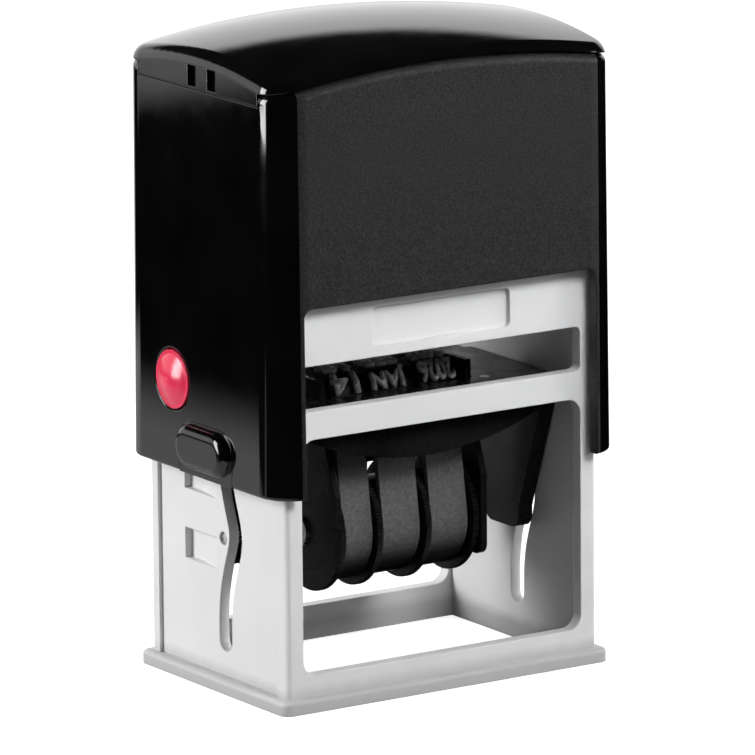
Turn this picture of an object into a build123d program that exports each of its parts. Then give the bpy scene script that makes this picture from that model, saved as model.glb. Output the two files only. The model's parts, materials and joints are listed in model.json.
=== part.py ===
"""Self-inking date stamp: a black housing slides down over a pale frame, and the type carrier turns over.

Millimetres. +Z is up, the front faces -Y, and the origin is the middle of the foot's underside.
The stamp stands as in use between two prints: type facing up, housing at the top of its stroke.
"""
from build123d import *
from math import cos, pi, radians, sin, tan
import os

os.makedirs("parts", exist_ok=True)

# The carrier's pivot, from which the heights are measured, and the type's height over it
PIVOT_Y = -1.2
PIVOT_Z = 39.4
TYPE_OVER_PIVOT = 10.6

# Frame
FRAME_WIDTH = 58.6
FRAME_DEPTH = 40.0
SIDE_WALL = 2.4
END_WALL = 2.2
FRAME_EDGE = 0.9
FOOT_HEIGHT = 2.2
FOOT_REACH = 1.5
FOOT_CORNER = 1.6
FOOT_EDGE = 0.7
POST_WIDTH = 3.0
SILL_TOP = 5.6
CROSSBAR_OVER_PIVOT = 3.9
CROSSBAR_HEIGHT = 4.5
STRIP_OVER_TYPE = 5.0
STRIP_HEIGHT = 11.0
WINDOW_CORNER = 2.4
SLIT_CORNER = 1.0
PANEL_RELIEF = 0.6
REAR_RIB = 2.4
FRONT_BAND = 2.9
NAMEPLATE_WIDTH = 25.8
NAMEPLATE_HEIGHT = 6.2
NAMEPLATE_DROP = 6.2
NAMEPLATE_DEPTH = 0.8
NAMEPLATE_CORNER = 0.9

# Pivot pins, the wave slot they run in, and the turning pins that flip the carrier
PIVOT_PIN_RADIUS = 1.4
PIVOT_SOCKET_DEPTH = 1.6
PIVOT_PIN_END_GAP = 0.1
CRANK_RADIUS = 1.6
SLOT_CLEARANCE = 0.45
SLOT_HEADROOM = 1.5
SLOT_RUNOUT = 4.5
SLOT_STEPS = 12
TURN_PIN_RADIUS = 1.1
TURN_PIN_SETBACK = 0.4
TURN_PIN_DROP = 15.0
TURN_PIN_SUNK = 0.35
GROOVE_CLEARANCE = 0.35
GROOVE_DEPTH = 1.4
GROOVE_STEPS = 16
RUNNING_FIT = 0.05

# Carrier
PLATFORM_UNDER_TYPE = 3.9
PLATFORM_THICKNESS = 1.8
PLATFORM_END_INSET = 1.1
PLATFORM_SETBACK = 4.5
PLATFORM_CORNER = 1.5
CHEEK_GAP = 0.4
CHEEK_THICKNESS = 2.6
CHEEK_TOP_INSET = 2.9
CHEEK_TOE_HALF = 4.9
CHEEK_TOE_DROP = 16.2
CHEEK_TOE_HEIGHT = 3.6
CHEEK_ROUND = 2.2
APRON_THICKNESS = 1.2
APRON_INSET = 0.9
APRON_END_INSET = 0.8
APRON_DROP_MIDDLE = 7.4
APRON_DROP_END = 1.2
WINDOW_END_GAP = 1.0
WINDOW_GAP = 0.2

# Date unit: three wheels on one axle, three bands over one nose bar, one bracket
AXLE_DROP = 15.7
AXLE_RADIUS = 1.5
AXLE_HEAD_RADIUS = 2.4
AXLE_HEAD = 0.6
DRUM_RADIUS = 7.25
BAND_GAP = 0.25
BAND_THICKNESS = 1.0
TYPE_HEIGHT = 0.75
NOSE_ROUND = 2.6
NOSE_HALF_FLAT = 1.7
NOSE_GAP = 0.05
NOSE_BAR_GAP = 0.9
DISC_REACH = 2.55
DISC_THICKNESS = 1.0
DISC_TEETH = 112
TEETH_OF_A_SQUARE = 4
WHEEL_GAP = 0.2
WHEELS_LEFT = -13.2
WHEEL_NAMES = ("day", "month", "year")
LEFT_DISCS = (DISC_THICKNESS, 0, 0)
DRUM_WIDTHS = (6.0, 8.0, 7.8)
BAND_WIDTHS = (5.4, 6.9, 6.9)
BRACKET_THICKNESS = 1.1
BRACKET_HALF = 10.0
BRACKET_UNDER_AXLE = 5.9
BRACKET_SHOULDER_RISE = 7.3
BRACKET_NECK_HALF = 5.6
BRACKET_UNDER_TYPE = 1.1
BRACKET_ROUND = 1.8
FLANGE_REACH = 3.4
FLANGE_HALF = 9.4
FLANGE_THICKNESS = 0.9
SCREW_RADIUS = 0.8
SCREW_HEAD_RADIUS = 1.5
SCREW_HEAD = 0.8
SCREW_FROM_END = 2.4

# Ink pad and its tray, which slides out at the back
PAD_THICKNESS = 2.9
PAD_INSET = 1.0
TRAY_SIDE_WALL = 2.0
TRAY_RIM_RISE = 0.6
TRAY_FIT = 0.3
TRAY_TOP_GAP = 0.4
TRAY_CORNER = 1.2
RUNNER_RISE = 1.6
RUNNER_HEIGHT = 1.0
RUNNER_REACH = 1.3
TRAY_FLANGE = 1.0
RUNNER_CLEARANCE = 0.2
GRIP_THICKNESS = 2.0
GRIP_DIMPLE_LENGTH = 20.0
GRIP_DIMPLE_HEIGHT = 2.3
GRIP_DIMPLE_DEPTH = 0.8

# Deck over the tray, and the return spring that stands on it
DECK_DROP = 6.0
DECK_THICKNESS = 1.4
SPRING_RADIUS = 5.5
SPRING_WIRE = 0.9
SPRING_TURNS = 7
SPRING_WIRE_SIDES = 8
SPRING_BOSS_GAP = 0.55
SPRING_BOSS_HEIGHT = 2.0
SPRING_POCKET_GAP = 1.55

# Housing
HOUSING_SIDE_GAP = 0.7
HOUSING_END_GAP = 1.2
HOUSING_DRAFT = 0.43
HOUSING_DRAFT_DROP = 0.6
HOUSING_CORNER = 5.4
HOUSING_UNDER_PIVOT = 4.8
HOUSING_SIDE_WALL = 2.0
HOUSING_END_WALL = 1.6
HOUSING_CEILING_GAP = 0.8
SEAM_OVER_FRAME = 6.4
HOUSING_TOP_WALL = 1.4
HOUSING_WINDOW_LAP = 1.2
HOUSING_WINDOW_JAMB = 4.6
HOUSING_WINDOW_CORNER = 1.5
HOUSING_RIM_EDGE = 0.5
RIB_WIDTH = 1.6
RIB_INSET = 4.9
RIB_GAP = 0.4
DOME_RISE = 4.0
DOME_CROWN_RADIUS = 170.0
DOME_FORE_AFT_RADIUS = 100.0
DOME_ROLL = 2.6
BARREL_CORE = 20.0

# How far a cutting form runs on past the face that it opens
CUT_RUNOUT = 1.0

# Index cap and the card under it
SEAM_CROWN_RADIUS = 179.0
SEAM_ROLL = 1.6
SKIRT_DROP = 4.9
SKIRT_THICKNESS = 1.6
CAP_GAP = 0.12
CAP_THICKNESS = 1.5
CARD_SIDE_INSET = 4.5
CARD_END_INSET = 4.8
CARD_THICKNESS = 0.4
CARD_FIT = 0.5
NOTCH_Y = -1.2
NOTCH_WIDTH = 8.0
NOTCH_HEIGHT = 3.3
NOTCH_LIFT = 0.4
NOTCH_DEPTH = 0.9
NOTCH_TAB = 3.4

# Pivot caps, pressed into open-bottomed slots of the housing's side walls
CAP_SETBACK = 1.0
CAP_LENGTH = 15.4
CAP_OVER_PIVOT = 3.8
CAP_PILL_INSET = 0.3
CAP_PILL_HEIGHT = 7.2
CAP_PROUD = 2.1
CAP_EDGE = 1.6
CAP_SEAT_GAP = 0.05
POCKET_CLEARANCE = 0.2
POCKET_DEPTH = 2.25
PIN_TIP_GAP = 0.3
PIN_COLLAR_RADIUS = 2.5
PIN_COLLAR = 0.5

# Lock buttons and the recesses in the frame that they catch in
LOCK_Y = 7.9
LOCK_OVER_PIVOT = 9.6
LOCK_RADIUS = 4.7
LOCK_FIT = 0.08
LOCK_RIM_EDGE = 0.35
LOCK_PROUD = 1.5
LOCK_LIP = 0.45
LOCK_LIP_WIDTH = 0.6
LOCK_TRAVEL = 1.8
LOCK_CLEARANCE = 0.3
TONGUE_WIDTH = 2.6
TONGUE_HEIGHT = 1.6
RECESS_HEIGHT = 5.0
RECESS_BACK = 10.5
RECESS_FLAT = 3.3
RECESS_FRONT = 1.0
RECESS_DEPTH = 1.2
RECESS_DROPS = (27.4, 16.0, 0.0)

# Heights, worked out from the sizes above
TYPE_FACE_Z = PIVOT_Z + TYPE_OVER_PIVOT
STROKE = 2 * PIVOT_Z - TYPE_FACE_Z
SLOT_FOOT = PIVOT_Z - STROKE - SLOT_RUNOUT
TURN_PIN_Z = PIVOT_Z - TURN_PIN_DROP
CROSSBAR_BOTTOM = PIVOT_Z + CROSSBAR_OVER_PIVOT
CROSSBAR_TOP = CROSSBAR_BOTTOM + CROSSBAR_HEIGHT
STRIP_BOTTOM = TYPE_FACE_Z + STRIP_OVER_TYPE
FRAME_TOP = STRIP_BOTTOM + STRIP_HEIGHT
NAMEPLATE_Z = FRAME_TOP - NAMEPLATE_DROP
PLATFORM_TOP = TYPE_FACE_Z - PLATFORM_UNDER_TYPE
PLATFORM_UNDERSIDE = PLATFORM_TOP - PLATFORM_THICKNESS
FLANGE_UNDERSIDE = PLATFORM_UNDERSIDE - FLANGE_THICKNESS
CHEEK_TOE_Z = PIVOT_Z - CHEEK_TOE_DROP
CHEEK_BOTTOM = CHEEK_TOE_Z - CHEEK_TOE_HEIGHT
AXLE_Z = PIVOT_Z - AXLE_DROP
DISC_RADIUS = DRUM_RADIUS + DISC_REACH
NOSE_CENTRE_Z = TYPE_FACE_Z - TYPE_HEIGHT - BAND_THICKNESS - NOSE_ROUND
NOSE_BAR_BOTTOM = AXLE_Z + DISC_RADIUS + NOSE_BAR_GAP
BRACKET_BOTTOM = AXLE_Z - BRACKET_UNDER_AXLE
BRACKET_SHOULDER_Z = AXLE_Z + BRACKET_SHOULDER_RISE
BRACKET_TOP = TYPE_FACE_Z - BRACKET_UNDER_TYPE
DECK_BOTTOM = FRAME_TOP - DECK_DROP
DECK_TOP = DECK_BOTTOM + DECK_THICKNESS
PAD_BOTTOM = STRIP_BOTTOM
TRAY_RIM_Z = STRIP_BOTTOM + TRAY_RIM_RISE
TRAY_TOP = DECK_BOTTOM - TRAY_TOP_GAP
RUNNER_Z = STRIP_BOTTOM + RUNNER_RISE
HOUSING_BOTTOM = PIVOT_Z - HOUSING_UNDER_PIVOT
HOUSING_WINDOW_TOP = FRAME_TOP - HOUSING_WINDOW_LAP
HOUSING_CEILING = FRAME_TOP + STROKE + HOUSING_CEILING_GAP
HOUSING_DRAFT_Z = HOUSING_CEILING - HOUSING_DRAFT_DROP
SEAM_TOP = FRAME_TOP + STROKE + SEAM_OVER_FRAME
SPRING_CEILING = SEAM_TOP - HOUSING_TOP_WALL
SKIRT_Z = SEAM_TOP - SKIRT_DROP
DOME_TOP = SEAM_TOP + DOME_RISE
CAP_TOP = PIVOT_Z + CAP_OVER_PIVOT
LOCK_Z = PIVOT_Z + LOCK_OVER_PIVOT

# Widths and depths, worked out from the sizes above
FRAME_HALF = FRAME_WIDTH / 2
FRAME_INNER_HALF = FRAME_HALF - SIDE_WALL
PANEL_FACE = FRAME_HALF - PANEL_RELIEF
FRONT_FACE = FRAME_DEPTH / 2
TURN_PIN_Y = PIVOT_Y + TURN_PIN_SETBACK
CHEEK_OUTER = FRAME_INNER_HALF - CHEEK_GAP
CHEEK_INNER = CHEEK_OUTER - CHEEK_THICKNESS
PLATFORM_WIDTH = 2 * (CHEEK_OUTER - PLATFORM_END_INSET)
PLATFORM_DEPTH = FRAME_DEPTH - 2 * PLATFORM_SETBACK
CHEEK_TOP_HALF = PLATFORM_DEPTH / 2 - CHEEK_TOP_INSET
APRON_HALF = PLATFORM_WIDTH / 2 - APRON_END_INSET
WINDOW_HALF_DEPTH = BRACKET_NECK_HALF + WINDOW_END_GAP
BAND_INNER_RADIUS = DRUM_RADIUS + BAND_GAP
WHEELS_RIGHT = WHEELS_LEFT + sum(LEFT_DISCS) + sum(DRUM_WIDTHS) + len(DRUM_WIDTHS) * DISC_THICKNESS
WHEELS_RIGHT += (len(DRUM_WIDTHS) - 1) * WHEEL_GAP
BRACKET_LEFT = WHEELS_LEFT - WHEEL_GAP
BRACKET_RIGHT = WHEELS_RIGHT + WHEEL_GAP
SCREW_SPACING = 2 * (FLANGE_HALF - SCREW_FROM_END)
TRAY_HALF = FRAME_INNER_HALF - RUNNER_REACH - TRAY_FIT
TRAY_FRONT = -FRONT_FACE + END_WALL + TRAY_FIT
TRAY_BACK = FRONT_FACE - GRIP_THICKNESS
PAD_WIDTH = 2 * (TRAY_HALF - TRAY_SIDE_WALL)
PAD_DEPTH = PLATFORM_DEPTH - 2 * PAD_INSET
SPRING_BOSS_RADIUS = SPRING_RADIUS - SPRING_WIRE / 2 - SPRING_BOSS_GAP
SPRING_POCKET_RADIUS = SPRING_RADIUS + SPRING_WIRE / 2 + SPRING_POCKET_GAP
HOUSING_WIDTH = FRAME_WIDTH + 2 * (HOUSING_SIDE_GAP + HOUSING_SIDE_WALL)
HOUSING_DEPTH = FRAME_DEPTH + 2 * (HOUSING_END_GAP + HOUSING_END_WALL)
HOUSING_HALF = HOUSING_WIDTH / 2
HOUSING_INNER_HALF = HOUSING_HALF - HOUSING_SIDE_WALL
HOUSING_FLARE = (HOUSING_DRAFT_Z - HOUSING_BOTTOM) * tan(radians(HOUSING_DRAFT))
HOUSING_WINDOW_HALF = HOUSING_HALF - HOUSING_WINDOW_JAMB
RIB_X = FRAME_HALF - RIB_INSET
SKIRT_HALF = HOUSING_DEPTH / 2 - HOUSING_CORNER
CARD_WIDTH = HOUSING_WIDTH - 2 * CARD_SIDE_INSET
CARD_DEPTH = HOUSING_DEPTH - 2 * CARD_END_INSET
CAP_Y = PIVOT_Y - CRANK_RADIUS + CAP_SETBACK
CAP_CORNER = CAP_PILL_HEIGHT / 2


def pin_place(stroke):
    """Centre (y, z) of the pivot pins after the housing has come down by the given stroke."""
    angle = 2 * pi * stroke / STROKE
    return PIVOT_Y - CRANK_RADIUS * (1 - cos(angle)), PIVOT_Z - stroke - CRANK_RADIUS * sin(angle)


def turning_pin_in_carrier(stroke):
    """Centre (y, z) of a turning pin, seen from the carrier, which turns half a turn in a stroke."""
    turn = pi * stroke / STROKE
    pin_y, pin_z = pin_place(stroke)
    off_y, off_z = TURN_PIN_Y - pin_y, TURN_PIN_Z - pin_z
    return (PIVOT_Y + off_y * cos(turn) + off_z * sin(turn),
            PIVOT_Z - off_y * sin(turn) + off_z * cos(turn))


def finish(piece, name):
    """Label a finished piece and write it as one file."""
    piece.part.label = name
    export_step(piece.part, f"parts/{name}.step")


def crowned_below(apex):
    """A barrel whose top is crowned from side to side and from front to back, with the given apex."""
    half = HOUSING_WIDTH
    drop = DOME_CROWN_RADIUS - (DOME_CROWN_RADIUS ** 2 - half ** 2) ** 0.5
    axis_z = apex - DOME_FORE_AFT_RADIUS
    core = axis_z + BARREL_CORE
    with BuildPart() as barrel:
        with BuildSketch(Plane.XZ):
            with BuildLine():
                crown = ThreePointArc((-half, apex - drop), (0, apex), (half, apex - drop))
                Polyline(crown @ 1, (half, core), (-half, core), crown @ 0)
            make_face()
        revolve(axis=Axis((0, 0, axis_z), (1, 0, 0)), revolution_arc=360)
    return barrel.part


def above_seam(lift, skirt_gap):
    """The space of the index cap: over the housing's crowned top, with a skirt down each side."""
    half = HOUSING_WIDTH
    drop = SEAM_CROWN_RADIUS - (SEAM_CROWN_RADIUS ** 2 - half ** 2) ** 0.5
    top = DOME_TOP + CUT_RUNOUT
    skirt_inner = HOUSING_HALF - SKIRT_THICKNESS + skirt_gap
    with BuildPart() as space:
        with BuildSketch(Plane.XZ):
            with BuildLine():
                seam = ThreePointArc((-half, SEAM_TOP + lift - drop), (0, SEAM_TOP + lift),
                                     (half, SEAM_TOP + lift - drop))
                Polyline(seam @ 1, (half, top), (-half, top), seam @ 0)
            make_face()
        extrude(amount=HOUSING_DEPTH, both=True)
        with BuildSketch(Plane.XY.offset(SKIRT_Z + lift)):
            for side in (-1, 1):
                with Locations((side * (skirt_inner + SKIRT_THICKNESS), 0)):
                    Rectangle(2 * SKIRT_THICKNESS, 2 * (SKIRT_HALF - skirt_gap))
        extrude(amount=top - SKIRT_Z - lift)
    return space.part


# Base frame
with BuildPart() as base_frame:
    with BuildSketch():
        RectangleRounded(FRAME_WIDTH + 2 * FOOT_REACH, FRAME_DEPTH + 2 * FOOT_REACH, FOOT_CORNER)
    extrude(amount=FOOT_HEIGHT)
    fillet(base_frame.faces().sort_by(Axis.Z)[-1].edges(), FOOT_EDGE)
    with BuildSketch():
        RectangleRounded(FRAME_WIDTH, FRAME_DEPTH, FRAME_EDGE)
    extrude(amount=FRAME_TOP)
    with BuildSketch():
        Rectangle(FRAME_WIDTH - 2 * SIDE_WALL, FRAME_DEPTH - 2 * END_WALL)
    extrude(amount=FRAME_TOP, mode=Mode.SUBTRACT)
    # The big lower windows, front and back, with a crossbar above each
    with BuildSketch(Plane.XZ):
        with Locations((0, (SILL_TOP + CROSSBAR_BOTTOM) / 2)):
            RectangleRounded(FRAME_WIDTH - 2 * POST_WIDTH, CROSSBAR_BOTTOM - SILL_TOP, WINDOW_CORNER)
    extrude(amount=FRAME_DEPTH, both=True, mode=Mode.SUBTRACT)
    # The slit between crossbar and header strip in front, and the tray's opening at the back
    with BuildSketch(Plane.XZ):
        with Locations((0, (CROSSBAR_TOP + STRIP_BOTTOM) / 2)):
            RectangleRounded(FRAME_WIDTH - 2 * POST_WIDTH, STRIP_BOTTOM - CROSSBAR_TOP, SLIT_CORNER)
    extrude(amount=FRAME_DEPTH, mode=Mode.SUBTRACT)
    with BuildSketch(Plane.XZ):
        with Locations((0, (CROSSBAR_TOP + DECK_BOTTOM) / 2)):
            Rectangle(FRAME_WIDTH - 2 * SIDE_WALL, DECK_BOTTOM - CROSSBAR_TOP)
    extrude(amount=-FRAME_DEPTH, mode=Mode.SUBTRACT)
    # Deck with the spring's boss, and runners for the tray
    with BuildSketch(Plane.XY.offset(DECK_BOTTOM)):
        Rectangle(FRAME_WIDTH - 2 * SIDE_WALL, FRAME_DEPTH - 2 * END_WALL)
    extrude(amount=DECK_THICKNESS)
    with BuildSketch(Plane.XY.offset(DECK_TOP)):
        Circle(SPRING_BOSS_RADIUS)
    extrude(amount=SPRING_BOSS_HEIGHT)
    with BuildSketch(Plane.XY.offset(RUNNER_Z)):
        for side in (-1, 1):
            with Locations((side * (FRAME_INNER_HALF - RUNNER_REACH / 2), 0)):
                Rectangle(RUNNER_REACH, FRAME_DEPTH - 2 * END_WALL)
    extrude(amount=RUNNER_HEIGHT)
    # Bare nameplate recess in the header strip
    with BuildSketch(Plane.XZ.offset(FRONT_FACE)):
        with Locations((0, NAMEPLATE_Z)):
            RectangleRounded(NAMEPLATE_WIDTH, NAMEPLATE_HEIGHT, NAMEPLATE_CORNER)
    extrude(amount=-NAMEPLATE_DEPTH, mode=Mode.SUBTRACT)
    # Side walls: sunk panel, wave slot, turning pin's hole and the three lock recesses
    for side in (-1, 1):
        with BuildSketch(Plane.YZ.offset(side * FRAME_HALF)):
            with BuildLine():
                Polyline((-FRONT_FACE + FRONT_BAND, FOOT_HEIGHT), (FRONT_FACE - REAR_RIB, FOOT_HEIGHT),
                         (FRONT_FACE - REAR_RIB, FRAME_TOP), (-FRONT_FACE + FRONT_BAND, FRAME_TOP),
                         close=True)
            make_face()
        extrude(amount=-side * PANEL_RELIEF, mode=Mode.SUBTRACT)
        with BuildSketch(Plane.YZ.offset(side * FRAME_HALF)):
            with BuildLine():
                Line((PIVOT_Y, PIVOT_Z + SLOT_HEADROOM), (PIVOT_Y, PIVOT_Z))
                wave = Spline([pin_place(STROKE * step / SLOT_STEPS) for step in range(SLOT_STEPS + 1)])
                Line(wave @ 1, (PIVOT_Y, SLOT_FOOT + PIVOT_PIN_RADIUS + SLOT_CLEARANCE))
            trace(line_width=2 * (PIVOT_PIN_RADIUS + SLOT_CLEARANCE))
            with Locations((PIVOT_Y, PIVOT_Z + SLOT_HEADROOM), (PIVOT_Y, PIVOT_Z),
                           (PIVOT_Y, PIVOT_Z - STROKE),
                           (PIVOT_Y, SLOT_FOOT + PIVOT_PIN_RADIUS + SLOT_CLEARANCE)):
                Circle(PIVOT_PIN_RADIUS + SLOT_CLEARANCE)
        extrude(amount=-side * 2 * SIDE_WALL, mode=Mode.SUBTRACT)
        with BuildSketch(Plane.YZ.offset(side * FRAME_HALF)):
            with Locations((TURN_PIN_Y, TURN_PIN_Z)):
                Circle(TURN_PIN_RADIUS)
        extrude(amount=-side * 2 * SIDE_WALL, mode=Mode.SUBTRACT)
        for drop in RECESS_DROPS:
            with BuildSketch(Plane.XY.offset(LOCK_Z - drop - RECESS_HEIGHT / 2)):
                with BuildLine():
                    Polyline((side * PANEL_FACE, RECESS_FRONT), (side * FRAME_HALF, RECESS_FRONT),
                             (side * FRAME_HALF, RECESS_BACK),
                             (side * (PANEL_FACE - RECESS_DEPTH), RECESS_BACK),
                             (side * (PANEL_FACE - RECESS_DEPTH), RECESS_BACK - RECESS_FLAT), close=True)
                make_face()
            extrude(amount=RECESS_HEIGHT, mode=Mode.SUBTRACT)
finish(base_frame, "base_frame")

# Turning pins, pressed into the side walls
TURN_PIN_TIP = CHEEK_OUTER - GROOVE_DEPTH + GROOVE_CLEARANCE
for side, name in ((-1, "turning_pin_left"), (1, "turning_pin_right")):
    with BuildPart() as turning_pin:
        with BuildSketch(Plane.YZ.offset(side * TURN_PIN_TIP)):
            with Locations((TURN_PIN_Y, TURN_PIN_Z)):
                Circle(TURN_PIN_RADIUS)
        extrude(amount=side * (PANEL_FACE - TURN_PIN_SUNK - TURN_PIN_TIP))
    finish(turning_pin, name)

# Pad tray: open below, carried on side flanges, with a grip plate at the back
with BuildPart() as pad_tray:
    with BuildSketch(Plane.XY.offset(TRAY_RIM_Z)):
        with Locations((0, (TRAY_FRONT + TRAY_BACK) / 2)):
            Rectangle(2 * TRAY_HALF, TRAY_BACK - TRAY_FRONT)
    extrude(amount=TRAY_TOP - TRAY_RIM_Z)
    fillet(pad_tray.edges().filter_by(Axis.Z).group_by(Axis.Y)[0], TRAY_CORNER)
    with BuildSketch(Plane.XY.offset(RUNNER_Z + RUNNER_HEIGHT + RUNNER_CLEARANCE)):
        with Locations((0, (TRAY_FRONT + TRAY_BACK) / 2)):
            Rectangle(2 * (FRAME_INNER_HALF - TRAY_FIT), TRAY_BACK - TRAY_FRONT - 2 * TRAY_CORNER)
    extrude(amount=TRAY_FLANGE)
    with BuildSketch(Plane.XY.offset(TRAY_RIM_Z)):
        with Locations((0, PIVOT_Y)):
            RectangleRounded(PAD_WIDTH, PAD_DEPTH, TRAY_CORNER)
    extrude(amount=PAD_BOTTOM + PAD_THICKNESS - TRAY_RIM_Z, mode=Mode.SUBTRACT)
    with BuildSketch(Plane.XZ.offset(-TRAY_BACK)):
        with Locations((0, (PAD_BOTTOM + TRAY_TOP) / 2)):
            RectangleRounded(2 * (FRAME_INNER_HALF - TRAY_FIT), TRAY_TOP - PAD_BOTTOM, TRAY_CORNER)
    extrude(amount=-GRIP_THICKNESS)
    with BuildSketch(Plane.XZ.offset(-FRONT_FACE)):
        with Locations((0, (PAD_BOTTOM + TRAY_TOP) / 2)):
            SlotOverall(GRIP_DIMPLE_LENGTH, GRIP_DIMPLE_HEIGHT)
    extrude(amount=GRIP_DIMPLE_DEPTH, mode=Mode.SUBTRACT)
finish(pad_tray, "pad_tray")

with BuildPart() as ink_pad:
    with BuildSketch(Plane.XY.offset(PAD_BOTTOM)):
        with Locations((0, PIVOT_Y)):
            RectangleRounded(PAD_WIDTH, PAD_DEPTH, TRAY_CORNER)
    extrude(amount=PAD_THICKNESS)
finish(ink_pad, "ink_pad")

# Return spring between the frame's deck and the housing's spring pocket. Eight sides keep its wire light.
SPRING_LENGTH = SPRING_CEILING - DECK_TOP - SPRING_WIRE
with BuildPart() as return_spring:
    with BuildLine():
        coil = Helix(pitch=SPRING_LENGTH / SPRING_TURNS, height=SPRING_LENGTH, radius=SPRING_RADIUS,
                     center=(0, 0, DECK_TOP + SPRING_WIRE / 2))
    with BuildSketch(Plane(origin=coil @ 0, z_dir=coil % 0)):
        RegularPolygon(SPRING_WIRE / 2, SPRING_WIRE_SIDES)
    sweep(is_frenet=True)
finish(return_spring, "return_spring")

# The outer form that the housing and the index cap share
with BuildPart() as outer_form:
    with BuildSketch(Plane.XY.offset(HOUSING_BOTTOM)):
        RectangleRounded(HOUSING_WIDTH + 2 * HOUSING_FLARE, HOUSING_DEPTH + 2 * HOUSING_FLARE,
                         HOUSING_CORNER + HOUSING_FLARE)
    extrude(amount=DOME_TOP - HOUSING_BOTTOM, taper=HOUSING_DRAFT)
    add(crowned_below(DOME_TOP), mode=Mode.INTERSECT)
    fillet(outer_form.faces().sort_by(Axis.Z)[-1].edges(), DOME_ROLL)

# Housing
with BuildPart() as housing_shell:
    add(outer_form.part)
    fillet(housing_shell.faces().sort_by(Axis.Z)[0].edges(), HOUSING_RIM_EDGE)
    add(above_seam(0, 0), mode=Mode.SUBTRACT)
    # The front and back walls roll inwards under the index cap
    seam_face = housing_shell.faces().sort_by(Axis.Z)[-1]
    fillet([edge for edge in seam_face.edges() if abs(edge.center().Y) > SKIRT_HALF], SEAM_ROLL)
    with BuildSketch(Plane.XY.offset(HOUSING_BOTTOM)):
        RectangleRounded(2 * HOUSING_INNER_HALF, HOUSING_DEPTH - 2 * HOUSING_END_WALL,
                         HOUSING_CORNER - HOUSING_SIDE_WALL)
    extrude(amount=HOUSING_CEILING - HOUSING_BOTTOM, mode=Mode.SUBTRACT)
    with BuildSketch(Plane.XY.offset(HOUSING_CEILING)):
        Circle(SPRING_POCKET_RADIUS)
    extrude(amount=SPRING_CEILING - HOUSING_CEILING, mode=Mode.SUBTRACT)
    # Guide ribs inside the front and back walls, which run down to the window's head
    with BuildSketch(Plane.XY.offset(HOUSING_WINDOW_TOP)):
        rib_depth = HOUSING_DEPTH / 2 - HOUSING_END_WALL - FRONT_FACE - RIB_GAP
        for end in (-1, 1):
            for side in (-1, 1):
                with Locations((side * RIB_X, end * (FRONT_FACE + RIB_GAP + rib_depth / 2))):
                    Rectangle(RIB_WIDTH, rib_depth)
    extrude(amount=HOUSING_CEILING - HOUSING_WINDOW_TOP)
    # Open-bottomed windows in the front and back walls
    with BuildSketch(Plane.XZ):
        with BuildLine():
            Polyline((-HOUSING_WINDOW_HALF, HOUSING_BOTTOM - CUT_RUNOUT),
                     (-HOUSING_WINDOW_HALF, HOUSING_WINDOW_TOP),
                     (HOUSING_WINDOW_HALF, HOUSING_WINDOW_TOP),
                     (HOUSING_WINDOW_HALF, HOUSING_BOTTOM - CUT_RUNOUT), close=True)
        window_face = make_face()
        fillet(window_face.vertices().group_by(Axis.Y)[-1], HOUSING_WINDOW_CORNER)
    extrude(amount=HOUSING_DEPTH, both=True, mode=Mode.SUBTRACT)
    # Slots for the pivot caps and round holes for the lock buttons
    with BuildSketch(Plane.YZ):
        with BuildLine():
            slot_half = CAP_LENGTH / 2 + CAP_SEAT_GAP
            slot_top = CAP_TOP + CAP_SEAT_GAP
            slot_bottom = HOUSING_BOTTOM - CUT_RUNOUT
            Polyline((CAP_Y - slot_half, slot_bottom), (CAP_Y - slot_half, slot_top),
                     (CAP_Y + slot_half, slot_top), (CAP_Y + slot_half, slot_bottom), close=True)
        slot_face = make_face()
        fillet(slot_face.vertices().group_by(Axis.Y)[-1], CAP_CORNER)
        with Locations((LOCK_Y, LOCK_Z)):
            Circle(LOCK_RADIUS + LOCK_FIT)
    extrude(amount=HOUSING_WIDTH, both=True, mode=Mode.SUBTRACT)
    for side in (-1, 1):
        beside_lock = (side * (HOUSING_HALF + CUT_RUNOUT), LOCK_Y, LOCK_Z)
        chamfer(housing_shell.edges().sort_by_distance(beside_lock)[0], LOCK_RIM_EDGE)
finish(housing_shell, "housing_shell")

# The room for the index card under the cap
with BuildPart() as card_room:
    with BuildSketch():
        Rectangle(CARD_WIDTH + 2 * CARD_FIT, CARD_DEPTH + 2 * CARD_FIT)
    extrude(amount=DOME_TOP)
    add(crowned_below(DOME_TOP - CAP_THICKNESS), mode=Mode.INTERSECT)

# Index cap: a thin dome with a skirt down each side, and a finger notch in each skirt
with BuildPart() as index_cap:
    add(outer_form.part)
    add(above_seam(CAP_GAP, CAP_GAP), mode=Mode.INTERSECT)
    add(card_room.part, mode=Mode.SUBTRACT)
    for side in (-1, 1):
        with BuildSketch(Plane.YZ.offset(side * (HOUSING_HALF - NOTCH_DEPTH))):
            with Locations((NOTCH_Y, SKIRT_Z + CAP_GAP + NOTCH_LIFT + NOTCH_HEIGHT / 2)):
                Rectangle(NOTCH_WIDTH, NOTCH_HEIGHT)
                Rectangle(NOTCH_TAB, NOTCH_HEIGHT, mode=Mode.SUBTRACT)
        extrude(amount=side * (NOTCH_DEPTH + CUT_RUNOUT), mode=Mode.SUBTRACT)
finish(index_cap, "index_cap")

# Index card, which lies on the housing's crowned top
with BuildPart() as index_card:
    with BuildSketch():
        Rectangle(CARD_WIDTH, CARD_DEPTH)
    extrude(amount=DOME_TOP)
    add(above_seam(0, 0), mode=Mode.INTERSECT)
    add(above_seam(CARD_THICKNESS, 0), mode=Mode.SUBTRACT)
finish(index_card, "index_card")

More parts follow.
